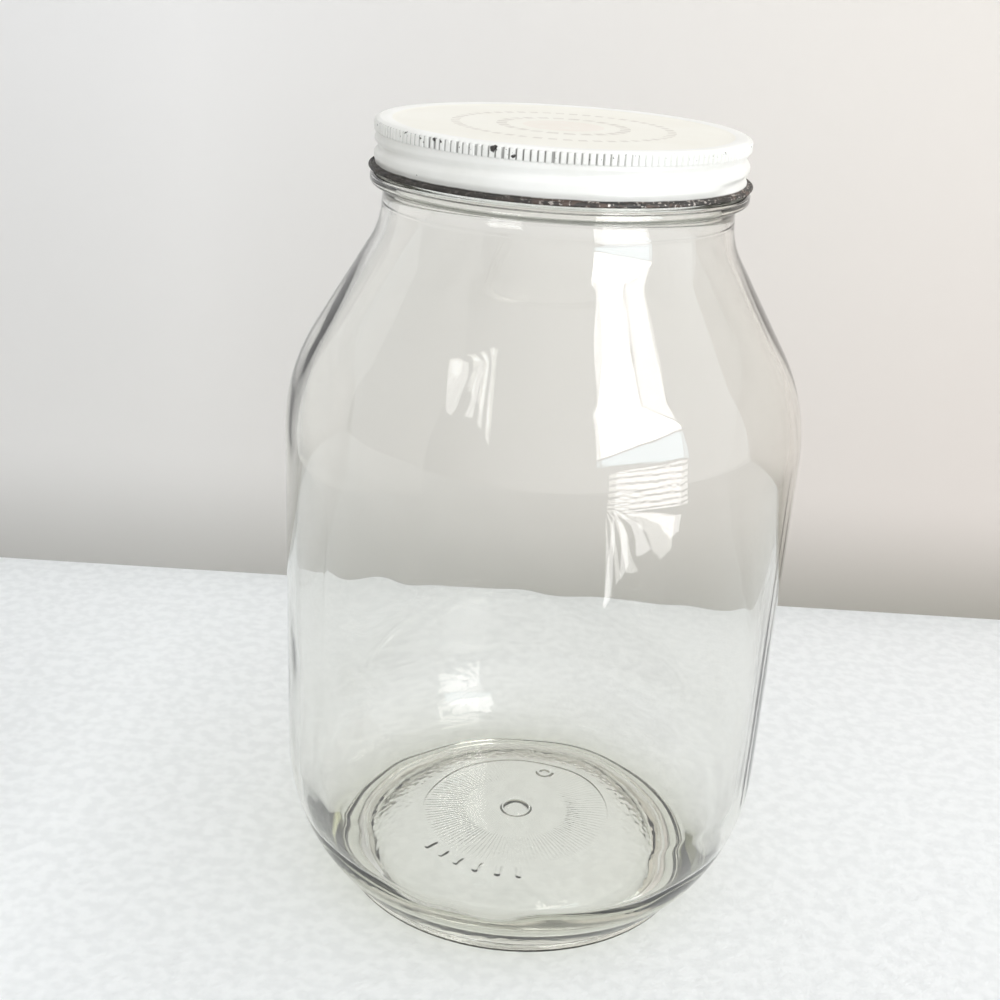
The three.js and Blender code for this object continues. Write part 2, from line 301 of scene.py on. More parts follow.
# Backdrop colours with painted light and shade: darker near the floor, lighter higher up,
# differing from left to right.
BACKDROP_LEFT = (0.69, 0.675, 0.66)
BACKDROP_LEFT_HIGH = (0.77, 0.76, 0.755)
BACKDROP_LEFT_PAINTED_SHADE = (0.46, 0.45, 0.43)
BACKDROP_RIGHT = (0.70, 0.645, 0.605)
BACKDROP_RIGHT_HIGH = (0.81, 0.765, 0.72)
BACKDROP_RIGHT_PAINTED_SHADE = (0.385, 0.365, 0.325)
BACKDROP_SIDES = (-250 * MM, 300 * MM)
BACKDROP_LIFT = (20 * MM, 340 * MM)
BACKDROP_SHADE_FADE = (-10 * MM, 65 * MM)


def arc(centre, radius, start, end, steps):
    """Points on a circle of the outline. A hollow curve has a radius below zero."""
    angles = np.linspace(start, end, steps + 1)
    return [
        (centre[0] + radius * math.cos(a), centre[1] + radius * math.sin(a))
        for a in angles
    ]


def line(start, end, steps):
    """Points on a straight stretch of the outline, without its first one."""
    return [
        (
            start[0] + (end[0] - start[0]) * i / steps,
            start[1] + (end[1] - start[1]) * i / steps,
        )
        for i in range(1, steps + 1)
    ]


def bend(start, corner, end, steps):
    """Points on a soft bend round a corner of the outline, without its first one."""
    points = []
    for i in range(1, steps + 1):
        t = i / steps
        shares = ((1 - t) ** 2, 2 * t * (1 - t), t**2)
        points.append(tuple(
            sum(share * spot[k] for share, spot in zip(shares, (start, corner, end)))
            for k in (0, 1)
        ))
    return points


def tangent_angle(lower, lower_radius, upper, upper_radius):
    """Outward angle of the straight line that touches two circles of the outline."""
    dx, dz = upper[0] - lower[0], upper[1] - lower[1]
    reach = math.hypot(dx, dz)
    return math.atan2(dz, dx) - math.acos((lower_radius - upper_radius) / reach)


def side_outline(depth, start_height):
    """The jar's side from heel to neck, at a depth below the outer surface."""
    heel = (HEEL_TOP_RADIUS - HEEL_CURVE, HEEL_TOP_HEIGHT)
    belly = (BELLY_RADIUS - BELLY_CURVE, BELLY_HEIGHT)
    neck = (NECK_RADIUS + NECK_CURVE, NECK_FOOT_HEIGHT)
    heel_radius = HEEL_CURVE - depth
    belly_radius = BELLY_CURVE - depth
    neck_radius = -NECK_CURVE - depth
    start = math.asin((start_height - heel[1]) / heel_radius)
    body = tangent_angle(heel, heel_radius, belly, belly_radius)
    shoulder = tangent_angle(belly, belly_radius, neck, neck_radius)
    low = arc(heel, heel_radius, start, body, steps=26)
    middle = arc(belly, belly_radius, body, shoulder, steps=18)
    high = arc(neck, neck_radius, shoulder, 0, steps=10)
    return [
        *low,
        *line(low[-1], middle[0], steps=34),
        *middle[1:],
        *line(middle[-1], high[0], steps=10),
        *high[1:],
    ]


def panel_height(radius):
    """Height of the domed underside at a distance from the axis, inside its bearing ring."""
    dome = PANEL_CROWN * (1 - (radius / BEARING_INNER) ** PANEL_POWER)
    return dome - (PANEL_STEP if PANEL_STEP_RADIUS < radius < BEARING_INNER else 0)


def base_outline():
    """The underside: centre ring, stepped panel, bearing ring and foot band."""
    ring = [
        (CENTRE_RING_RADIUS + CENTRE_RING_WIDTH / 2 * x, PANEL_CROWN - MARK_DEPTH * y)
        for x, y in ((-1.4, 0), (-0.8, 0.8), (0, 1), (0.8, 0.8), (1.4, 0))
    ]
    foot = (FOOT_RADIUS - FOOT_ROUND, FOOT_ROUND)
    inner_panel = np.linspace(ring[-1][0], PANEL_STEP_RADIUS, 46)[1:]
    eased = BEARING_INNER - BEARING_EASE
    outer_panel = np.linspace(PANEL_STEP_RADIUS + 2 * PANEL_STEP, eased, 44)
    corner = (BEARING_INNER, 0)
    flat = (BEARING_INNER + BEARING_EASE, 0)
    return [
        (0, PANEL_CROWN),
        (ring[0][0] / 2, PANEL_CROWN),
        *ring,
        *[(r, panel_height(r)) for r in inner_panel],
        *[(r, panel_height(r)) for r in outer_panel],
        *bend((eased, panel_height(eased)), corner, flat, steps=7),
        *arc(foot, FOOT_ROUND, -math.pi / 2, -0.25, steps=6),
        (FOOT_RADIUS + 0.25 * MM, FOOT_BAND_HEIGHT * 0.6),
        (FOOT_RADIUS + 0.45 * MM, FOOT_BAND_HEIGHT * 0.88),
    ]


def finish_outline():
    """From the neck over the bead, the threaded wall and the lip, and down the bore."""
    bead_x = BEAD_RADIUS - BEAD_ROUND
    lower = (bead_x, BEAD_BOTTOM + BEAD_ROUND)
    upper = (bead_x, BEAD_TOP - BEAD_ROUND)
    seam = BEAD_BOTTOM + BEAD_SEAM_RISE
    outer_lip = (FINISH_RADIUS - LIP_ROUND, GLASS_TOP - LIP_ROUND)
    inner_lip = (BORE_RADIUS + LIP_ROUND, GLASS_TOP - LIP_ROUND)
    root = (FINISH_RADIUS, BEAD_TOP + 0.4 * MM)
    bore_foot = (BORE_RADIUS, BEAD_BOTTOM)
    return [
        (NECK_RADIUS, NECK_FOOT_HEIGHT + 0.4 * MM),
        (NECK_RADIUS, BEAD_BOTTOM - 0.9 * MM),
        (NECK_RADIUS + 0.25 * MM, BEAD_BOTTOM - 0.3 * MM),
        (NECK_RADIUS + 0.9 * MM, BEAD_BOTTOM),
        *arc(lower, BEAD_ROUND, -math.pi / 2, 0, steps=7),
        (BEAD_RADIUS, seam - BEAD_SEAM_WIDTH / 2),
        (BEAD_RADIUS - 0.3 * BEAD_SEAM, seam - BEAD_SEAM_WIDTH / 4),
        (BEAD_RADIUS - 1.7 * BEAD_SEAM, seam),
        (BEAD_RADIUS - BEAD_SEAM, seam + BEAD_SEAM_WIDTH / 3),
        *arc(upper, BEAD_ROUND - BEAD_SEAM, 0, math.pi / 2, steps=7),
        (FINISH_RADIUS + 0.4 * MM, BEAD_TOP),
        *line(root, (FINISH_RADIUS, outer_lip[1]), steps=26),
        *arc(outer_lip, LIP_ROUND, 0, math.pi / 2, steps=5)[1:],
        *arc(inner_lip, LIP_ROUND, math.pi / 2, math.pi, steps=5),
        *line((BORE_RADIUS, inner_lip[1]), bore_foot, steps=8),
    ]


def floor_dome(rim, steps):
    """The domed floor inside, from its rim to the axis. It leaves the rim at FLOOR_LEAN."""
    rise = rim[0] * math.tan(FLOOR_LEAN) / FLOOR_POWER
    return [
        (rim[0] * i / steps, rim[1] + rise * (1 - (i / steps) ** FLOOR_POWER))
        for i in range(steps - 1, -1, -1)
    ]


def inside_outline():
    """The inner surface from the neck down to the middle of the floor."""
    heel = (HEEL_TOP_RADIUS - HEEL_CURVE, HEEL_TOP_HEIGHT)
    reach = HEEL_CURVE - WALL - FLOOR_EDGE_CURVE
    edge_z = FLOOR_HEIGHT + FLOOR_EDGE_CURVE
    edge = (heel[0] + math.sqrt(reach**2 - (heel[1] - edge_z) ** 2), edge_z)
    meet = math.atan2(edge[1] - heel[1], edge[0] - heel[0])
    meet_height = edge[1] + FLOOR_EDGE_CURVE * math.sin(meet)
    floor_edge = arc(edge, FLOOR_EDGE_CURVE, meet, -math.pi / 2 - FLOOR_LEAN, steps=14)
    return [
        *side_outline(WALL, meet_height)[::-1],
        *floor_edge[1:],
        *floor_dome(floor_edge[-1], steps=24),
    ]


def turned_mesh(name, outline, columns, shift):
    """Turns an outline of (radius, height) points, from axis to axis, into a closed mesh.

    shift takes the angles, radii and heights of all the points, and the number of each
    point along the outline, and gives what is added to the radii and to the heights.
    """
    ring = np.array(outline[1:-1])
    rows = len(ring)
    angle = np.tile(np.arange(columns) * 2 * math.pi / columns, (rows, 1))
    radius = np.tile(ring[:, 0][:, None], (1, columns))
    height = np.tile(ring[:, 1][:, None], (1, columns))
    row = np.tile(np.arange(rows)[:, None], (1, columns))
    more_radius, more_height = shift(angle, radius, height, row)
    radius = radius + more_radius
    height = height + more_height
    points = np.stack([radius * np.cos(angle), radius * np.sin(angle), height], -1)
    poles = [(0, 0, outline[0][1]), (0, 0, outline[-1][1])]
    vertices = np.concatenate([points.reshape(-1, 3), poles])
    low, high = rows * columns, rows * columns + 1
    faces = []
    for j in range(columns):
        k = (j + 1) % columns
        faces.append((low, k, j))
        for i in range(rows - 1):
            a, b = i * columns, (i + 1) * columns
            faces.append((a + j, a + k, b + k, b + j))
        top = (rows - 1) * columns
        faces.append((top + j, top + k, high))
    mesh = bpy.data.meshes.new(name)
    mesh.from_pydata(vertices.tolist(), [], faces)
    mesh.shade_smooth()
    mesh.update()
    return mesh


def underside_marks(x, y):
    """How far the marks of the underside stand out at each place, from 0 to 1."""
    centre = DISC_MARK_REACH * np.exp(1j * DISC_MARK_DEGREES * DEGREE)
    place = x + 1j * y
    away = np.abs(place - centre)
    raised = smooth_step((DISC_MARK_RADIUS - away) / MARK_EDGE)
    raised = raised * smooth_step((away - DISC_MARK_HOLE) / MARK_EDGE)
    for i in range(BAR_COUNT):
        turn = np.exp(1j * (BAR_START_DEGREES + i * BAR_STEP_DEGREES) * DEGREE)
        local = place / turn - BAR_REACH
        along = (BAR_LENGTH / 2 - np.abs(local.real)) / BAR_EDGE
        across = (BAR_WIDTH / 2 - np.abs(local.imag)) / BAR_EDGE
        raised = np.maximum(raised, smooth_step(np.minimum(along, across)))
    return raised


def floor_wobble(angle, height):
    """The floor's edge wanders in and out where the glass settled on the mould."""
    low = 1 - smooth_between(height, *FLOOR_WOBBLE_FADE)
    wander = sum(share * np.sin(turns * angle + phase) for share, turns, phase in FLOOR_WANDER)
    furthest = sum(share for share, _, _ in FLOOR_WANDER)
    return FLOOR_WOBBLE * (wander / furthest - 1) * low


def stipple_height(angle, radius):
    """Fine ribs and dots of the underside's two stippled bands, from -1 to 1."""
    ribs = RIB_SHARE * np.cos(INNER_RIBS * angle + 0.5) * band_share(radius, *INNER_STIPPLE)
    dots = np.random.default_rng(7).uniform(-1, 1, angle.shape)
    dots = dots + np.roll(dots, 1, 1)
    dots = (dots + np.roll(dots, 1, 0)) / 2
    outer = DOT_SHARE * band_share(radius, *OUTER_STIPPLE)
    dots = dots * (outer + RIB_DOT_SHARE * np.abs(ribs))
    return ribs + dots


def band_share(radius, low, high):
    """One inside a ring-shaped band, falling to nothing within a millimetre."""
    return smooth_step((radius - low) / MM + 1) * smooth_step((high - radius) / MM + 1)


def smooth_step(value):
    value = np.clip(value, 0, 1)
    return value * value * (3 - 2 * value)


def smooth_between(value, low, high):
    """Smooth rise from 0 at the low value to 1 at the high one."""
    return smooth_step((value - low) / (high - low))


def thread_depth(angle, height, rise, half_width):
    """How far the thread stands at each point, from 0 to 1, over both of its passes."""
    depth = np.zeros_like(angle)
    turned = np.degrees(angle) - THREAD_START_DEGREES
    sweep = THREAD_TURNS * 360
    for extra in (-360, 0, 360):
        swept = turned + extra
        to_end = np.minimum(swept, sweep - swept)
        fade = smooth_step(to_end / THREAD_RUNOUT_DEGREES)
        middle = THREAD_START_HEIGHT + rise + THREAD_PITCH * swept / 360
        across = np.clip(np.abs(height - middle) / half_width, 0, 1)
        depth = np.maximum(depth, fade * np.cos(across * math.pi / 2) ** 2)
    return depth


def glass_waves(seed, count, turns, lengths, depth):
    """Shallow waves of blown glass: times round the jar, wavelength up it, phase, depth."""
    draw = random.Random(seed)
    return [
        (
            draw.randint(*turns),
            draw.uniform(*lengths) * MM,
            draw.uniform(0, 2 * math.pi),
            draw.choice((-1, 1)) * depth * draw.uniform(0.5, 1) / math.sqrt(count),
        )
        for _ in range(count)
    ]


SWELL = glass_waves(seed=4, count=9, turns=(1, 4), lengths=(90, 260), depth=0.42 * MM)
STREAKS = glass_waves(seed=11, count=8, turns=(9, 24), lengths=(150, 500), depth=0.035 * MM)
RIPPLES = glass_waves(seed=23, count=12, turns=(6, 22), lengths=(25, 80), depth=0.030 * MM)


def wave_sum(waves, angle, height):
    """Sum of the waves, moved down so that it never rises above zero."""
    total = np.zeros_like(angle)
    for turns, length, phase, depth in waves:
        wave = np.sin(turns * angle + 2 * math.pi * height / length + phase)
        total += depth * wave - abs(depth)
    return total


def make_glass():
    """The glass, with a smooth mould side outside and the wavy blown side inside."""
    base = base_outline()
    outside = side_outline(0, FOOT_BAND_HEIGHT)
    outside[-1:-1] = [
        (NECK_RADIUS, NECK_SEAM_HEIGHT - NECK_SEAM_WIDTH / 2),
        (NECK_RADIUS + NECK_SEAM, NECK_SEAM_HEIGHT),
        (NECK_RADIUS, NECK_SEAM_HEIGHT + NECK_SEAM_WIDTH / 2),
    ]
    finish = finish_outline()
    inside = inside_outline()
    outline = [*base, *outside, *finish, *inside]
    inside_row = len(base) + len(outside) + len(finish) - 1
    finish_row = len(base) + len(outside) - 1

    def shift(angle, radius, height, row):
        outer = row < inside_row
        body = smooth_between(height, *WAVE_START)
        body = body * (1 - smooth_between(height, *WAVE_END))
        inner_waves = wave_sum([*SWELL, *STREAKS, *RIPPLES], angle, height)
        skin_waves = wave_sum(RIPPLES, angle + 1, height) * SKIN_WAVE_SHARE
        more = np.where(outer, skin_waves, inner_waves) * body
        wobble = smooth_between(radius, *FLOOR_WOBBLE_START) * floor_wobble(angle, height)
        more = more + np.where(outer, 0, wobble)
        for degrees in SEAM_DEGREES:
            away = np.abs((angle - degrees * DEGREE + math.pi) % (2 * math.pi) - math.pi)
            ridge = smooth_step(1 - away * radius / SEAM_WIDTH)
            more = more + np.where(outer, ridge * SEAM_HEIGHT, 0) * body
        thread = thread_depth(angle, height, THREAD_PITCH / 2, GLASS_THREAD_HALF_WIDTH)
        threaded = outer & (row > finish_row) & (height > LID_BOTTOM)
        threaded = threaded & (radius > FINISH_RADIUS - 0.1 * MM)
        more = more + np.where(threaded, thread * GLASS_THREAD_DEPTH, 0)
        marks = underside_marks(radius * np.cos(angle), radius * np.sin(angle))
        stipple = stipple_height(angle, radius) * (1 - marks)
        down = np.where(row < len(base), stipple * STIPPLE_DEPTH - marks * MARK_DEPTH, 0)
        return more, down

    mesh = turned_mesh("jar_glass", outline, GLASS_COLUMNS, shift)
    glass = bpy.data.objects.new("jar_glass", mesh)
    bpy.context.scene.collection.objects.link(glass)
    return glass


def lid_outline():
    """Outline of the sheet metal: ceiling, inner wall, curl, outer wall and panel."""
    inner = LID_RADIUS - SHEET
    ceiling = TOTAL_HEIGHT - SHEET
    inner_edge = (inner - LID_EDGE_CURVE + SHEET, ceiling - LID_EDGE_CURVE + SHEET)
    edge = (LID_RADIUS - LID_EDGE_CURVE, TOTAL_HEIGHT - LID_EDGE_CURVE)
    curl = (CURL_RADIUS, CURL_HEIGHT)
    inside = [
        (0, ceiling - LID_PANEL_DROP),
        (LID_PANEL_RADIUS * 0.5, ceiling - LID_PANEL_DROP),
        (LID_PANEL_RADIUS, ceiling - LID_PANEL_DROP),
        (LID_RIM_RADIUS, ceiling),
        *arc(inner_edge, LID_EDGE_CURVE - SHEET, math.pi / 2, 0, steps=4),
        *line((inner, inner_edge[1]), (inner, CURL_HEIGHT + 0.4 * MM), steps=26),
    ]
    rolled = arc(
        curl, CURL_TUBE, CURL_END_DEGREES * DEGREE, CURL_START_DEGREES * DEGREE, 16
    )
    outside = [
        (LID_RADIUS, CURL_HEIGHT + 0.9 * MM),
        *line((LID_RADIUS, CURL_HEIGHT + CURL_TUBE), (LID_RADIUS, edge[1]), steps=40),
        *arc(edge, LID_EDGE_CURVE, 0, math.pi / 2, steps=8)[1:],
        (LID_RIM_RADIUS + 1.2 * MM, TOTAL_HEIGHT),
        (LID_RIM_RADIUS + 0.3 * MM, TOTAL_HEIGHT - 0.04 * MM),
        ((LID_RIM_RADIUS + LID_PANEL_RADIUS) / 2, TOTAL_HEIGHT - LID_PANEL_DROP / 2),
        (LID_PANEL_RADIUS - 0.3 * MM, TOTAL_HEIGHT - LID_PANEL_DROP + 0.04 * MM),
        (LID_PANEL_RADIUS - 1.2 * MM, TOTAL_HEIGHT - LID_PANEL_DROP),
        (LID_PANEL_RADIUS * 0.6, TOTAL_HEIGHT - LID_PANEL_DROP),
        (LID_PANEL_RADIUS * 0.25, TOTAL_HEIGHT - LID_PANEL_DROP),
        (0, TOTAL_HEIGHT - LID_PANEL_DROP),
    ]
    return inside, rolled, outside


def flute_height(angle, height):
    """Rounded ribs of the fluted band, which run out at both ends."""
    place = (angle * FLUTE_COUNT / (2 * math.pi)) % 1
    rib = np.where(place < FLUTE_SHARE, 1.0, 0.0)
    low = smooth_step((height - FLUTE_BOTTOM + 0.3 * MM) / (0.5 * MM))
    high = smooth_step((FLUTE_TOP + 0.2 * MM - height) / (0.7 * MM))
    return (FLUTE_CREST - LID_RADIUS) * (rib - 0.15) * low * high


def make_lid():
    """The lid, and the rows of its outline where the rolled rim starts and ends."""
    inside, rolled, outside = lid_outline()
    first_outside = len(inside) + len(rolled) - 1

    def shift(angle, radius, height, row):
        groove = thread_depth(angle, height, 0, GROOVE_HALF_WIDTH)
        wall = radius > LID_RADIUS - 1.2 * SHEET
        wall = wall & (height > CURL_HEIGHT + 0.8 * MM)
        more = np.where(wall, -groove * GROOVE_DEPTH, 0)
        skirt = smooth_step((height - CURL_HEIGHT - 0.9 * MM) / (2 * MM))
        skirt = skirt * smooth_step((FLUTE_BOTTOM - 1.2 * MM - height) / (2 * MM))
        more = more + np.where(wall, skirt * SKIRT_SWELL, 0)
        band = (row >= first_outside) & (radius > LID_RADIUS - LID_EDGE_CURVE)
        more = more + np.where(band, flute_height(angle, height), 0)
        return more, np.zeros_like(more)

    outline = [*inside, *rolled, *outside]
    mesh = turned_mesh("lid_shell", outline, LID_COLUMNS, shift)
    mesh.set_sharp_from_angle(angle=50 * DEGREE)
    lid = bpy.data.objects.new("lid_shell", mesh)
    bpy.context.scene.collection.objects.link(lid)
    return lid, len(inside) - 1, first_outside


def paint_rolled_rows(lid, start, end):
    """Gives the rows of the outline from start to end the lid's second material."""
    first_corner = np.zeros(len(lid.data.polygons), int)
    lid.data.polygons.foreach_get("loop_start", first_corner)
    corner_vertex = np.zeros(len(lid.data.loops), int)
    lid.data.loops.foreach_get("vertex_index", corner_vertex)
    row = corner_vertex[first_corner] // LID_COLUMNS
    slots = ((row >= start) & (row < end)).astype(int)
    lid.data.polygons.foreach_set("material_index", slots)
    lid.data.update()


class Shading:
    """Adds nodes to the node tree of a material or a group, in few words."""

    def __init__(self, tree):
        self.nodes = tree.nodes
        self.links = tree.links

    def feed(self, socket, value):
        """Sets an input, or links it where the value is another node's output."""
        if isinstance(value, bpy.types.NodeSocket):
            self.links.new(value, socket)
        else:
            socket.default_value = value

    def node(self, kind, **inputs):
        made = self.nodes.new(kind)
        for name, value in inputs.items():
            self.feed(made.inputs[name], value)
        return made

    def maths(self, operation, *values):
        made = self.nodes.new("ShaderNodeMath")
        made.operation = operation
        for socket, value in zip(made.inputs, values):
            self.feed(socket, value)
        return made.outputs[0]

    def times(self, *values):
        """Product of two or more values."""
        product = values[0]
        for value in values[1:]:
            product = self.maths("MULTIPLY", product, value)
        return product

    def vector(self, operation, *values, output="Vector"):
        made = self.nodes.new("ShaderNodeVectorMath")
        made.operation = operation
        for socket, value in zip(made.inputs, values):
            self.feed(socket, value)
        return made.outputs[output]

    def rise(self, value, low, high, first=0.0, last=1.0):
        """Smooth change from first to last while the value goes from low to high."""
        made = self.nodes.new("ShaderNodeMapRange")
        made.interpolation_type = "SMOOTHSTEP"
        names = ("Value", "From Min", "From Max", "To Min", "To Max")
        for name, setting in zip(names, (value, low, high, first, last)):
            self.feed(made.inputs[name], setting)
        return made.outputs["Result"]

    def band(self, value, low, high, soft):
        """One between low and high, falling to nothing within the soft distance."""
        up = self.rise(value, low - soft, low)
        down = self.rise(value, high, high + soft, 1.0, 0.0)
        return self.times(up, down)

    def blend(self, factor, first, second):
        made = self.nodes.new("ShaderNodeMix")
        made.data_type = "RGBA"
        colours = [x for x in made.inputs if x.type == "RGBA"]
        self.feed(made.inputs["Factor"], factor)
        for socket, colour in zip(colours, (first, second)):
            self.feed(socket, (*colour, 1) if isinstance(colour, tuple) else colour)
        return next(x for x in made.outputs if x.type == "RGBA")

    def noise(self, vector, scale, detail=2.0, distortion=0.0):
        made = self.nodes.new("ShaderNodeTexNoise")
        self.feed(made.inputs["Vector"], vector)
        self.feed(made.inputs["Scale"], scale)
        made.inputs["Detail"].default_value = detail
        made.inputs["Distortion"].default_value = distortion
        return made.outputs["Fac"]

    def bump(self, height, distance, strength=1.0):
        made = self.node("ShaderNodeBump", Height=height, Distance=distance, Strength=strength)
        return made.outputs["Normal"]

    def group(self, tree, **inputs):
        """Places a shared effect, with this material's own values."""
        made = self.nodes.new("ShaderNodeGroup")
        made.node_tree = tree
        for name, value in inputs.items():
            self.feed(made.inputs[name], value)
        return made.outputs[0]


def new_group(name, numbers, output):
    """An empty shared effect that takes a place and named numbers, with one named output."""
    tree = bpy.data.node_groups.new(name, "ShaderNodeTree")
    tree.interface.new_socket("Place", in_out="INPUT", socket_type="NodeSocketVector")
    for number in numbers:
        tree.interface.new_socket(number, in_out="INPUT", socket_type="NodeSocketFloat")
    tree.interface.new_socket(output, in_out="OUTPUT", socket_type="NodeSocketFloat")
    entry = tree.nodes.new("NodeGroupInput")
    leave = tree.nodes.new("NodeGroupOutput")
    return tree, Shading(tree), entry.outputs, leave.inputs


def make_mottle():
    """Slow, cloudy change between two values."""
    numbers = ("Scale", "Low", "High")
    tree, shading, given, result = new_group("mottle", numbers, "Value")
    cloud = shading.noise(given["Place"], given["Scale"], detail=4.0)
    value = shading.rise(cloud, 0.32, 0.68, given["Low"], given["High"])
    shading.feed(result["Value"], value)
    return tree


def make_specks():
    """Sharp-edged specks that cover a share of the surface."""
    numbers = ("Scale", "Cover", "Softness")
    tree, shading, given, result = new_group("specks", numbers, "Mask")
    grains = shading.noise(given["Place"], given["Scale"], detail=5.0, distortion=0.4)
    edge = shading.maths("SUBTRACT", 1.0, given["Cover"])
    full = shading.maths("ADD", edge, given["Softness"])
    shading.feed(result["Mask"], shading.rise(grains, edge, full))
    return tree


def make_grain():
    """Fine and coarse unevenness of a surface, as a height."""
    tree, shading, given, result = new_group("grain", ("Scale", "Coarse"), "Height")
    fine = shading.noise(given["Place"], given["Scale"], detail=3.0)
    wide_scale = shading.times(given["Scale"], 0.14)
    wide = shading.noise(given["Place"], wide_scale, detail=1.0)
    swell = shading.times(wide, given["Coarse"])
    shading.feed(result["Height"], shading.maths("ADD", fine, swell))
    return tree


MOTTLE = make_mottle()
SPECKS = make_specks()
GRAIN = make_grain()


def new_material(name):
    """A material, its shading helper, its shader and the place on the object."""
    material = bpy.data.materials.new(name)
    material.use_nodes = True
    shading = Shading(material.node_tree)
    shader = material.node_tree.nodes["Principled BSDF"]
    place = shading.node("ShaderNodeTexCoord").outputs["Object"]
    return material, shading, shader, place


def round_places(shading, place):
    """Distance from the jar's axis, height and angle in turns of a place."""
    split = shading.node("ShaderNodeSeparateXYZ", Vector=place).outputs
    level = shading.vector("MULTIPLY", place, (1, 1, 0))
    radius = shading.vector("LENGTH", level, output="Value")
    angle = shading.maths("ARCTAN2", split["Y"], split["X"])
    turns = shading.maths("DIVIDE", angle, 2 * math.pi)
    return radius, split["Z"], turns


def strokes(shading, turns, count, share):
    """Marks that repeat round the axis and take a share of each step."""
    step = shading.maths("FRACT", shading.times(turns, count))
    return shading.band(step, DASH_END, share, DASH_END)


def glass_material():
    """Clear glass that is olive-grey where it is thick.

    Light that the floor scatters passes straight through it, so that the jar casts no
    harder a shadow than a clear jar does in soft light.
    """
    material, shading, shader, _ = new_material("clear_flint_glass")
    shader.inputs["Base Color"].default_value = (1, 1, 1, 1)
    shader.inputs["IOR"].default_value = GLASS_IOR
    shader.inputs["Transmission Weight"].default_value = 1
    shader.inputs["Roughness"].default_value = 0
    rays = shading.node("ShaderNodeLightPath").outputs
    soft = shading.maths("MAXIMUM", rays["Is Diffuse Ray"], rays["Is Shadow Ray"])
    clear = shading.node("ShaderNodeBsdfTransparent", Color=SOFT_CLEAR)
    both = shading.node("ShaderNodeMixShader", Fac=soft)
    shading.links.new(shader.outputs["BSDF"], both.inputs[1])
    shading.links.new(clear.outputs["BSDF"], both.inputs[2])
    output = shading.nodes["Material Output"]
    shading.links.new(both.outputs["Shader"], output.inputs["Surface"])
    body = shading.node("ShaderNodeVolumeAbsorption", Color=GLASS_TINT, Density=GLASS_DENSITY)
    shading.links.new(body.outputs["Volume"], output.inputs["Volume"])
    return material


def chip_mask(shading, place):
    """The few large chips of the enamel, at their own places on the lid's edge."""
    ragged = shading.node("ShaderNodeTexNoise", Vector=place, Scale=900.0).outputs["Color"]
    shift = shading.vector("SUBTRACT", ragged, (0.5, 0.5, 0.5))
    shift = shading.vector("MULTIPLY", shift, (CHIP_RAGGED, CHIP_RAGGED, CHIP_RAGGED))
    bent = shading.vector("ADD", place, shift)
    mask = None
    for degrees, height, size in CHIPS:
        angle = degrees * DEGREE
        centre = (FLUTE_CREST * math.cos(angle), FLUTE_CREST * math.sin(angle), height)
        reach = shading.vector("DISTANCE", bent, centre, output="Value")
        chip = shading.rise(reach, size * 0.7, size, 1.0, 0.0)
        mask = chip if mask is None else shading.maths("MAXIMUM", mask, chip)
    return mask


def lid_print(shading, place, radius, turns):
    """A worn generic print: two rings of dashes round a pale disc. Gives its strength."""
    wide = shading.band(radius, *OUTER_DASHES, DASH_EDGE)
    narrow = shading.band(radius, *INNER_DASHES, DASH_EDGE)
    middle = shading.band(radius, 0, PRINT_DISC, 2 * DASH_EDGE)
    wide = shading.times(wide, strokes(shading, turns, OUTER_DASH_COUNT, OUTER_DASH_SHARE))
    narrow = shading.times(narrow, strokes(shading, turns, INNER_DASH_COUNT, INNER_DASH_SHARE))
    dashes = shading.maths("MAXIMUM", wide, narrow)
    worn = shading.group(SPECKS, Place=place, Scale=260.0, Cover=0.52, Softness=0.3)
    left = shading.maths("SUBTRACT", 1.0, worn)
    return shading.times(dashes, left), shading.times(middle, left)


def towards_glare(shading, place):
    """How far a place lies towards the lit side of the lid, where the flutes lose their painted
    shade and the curl gets more rust and bright specks, partly painted light.
    """
    angle = GLARE_DEGREES * DEGREE
    side = (math.cos(angle), math.sin(angle), 0)
    return shading.vector("DOT_PRODUCT", place, side, output="Value")


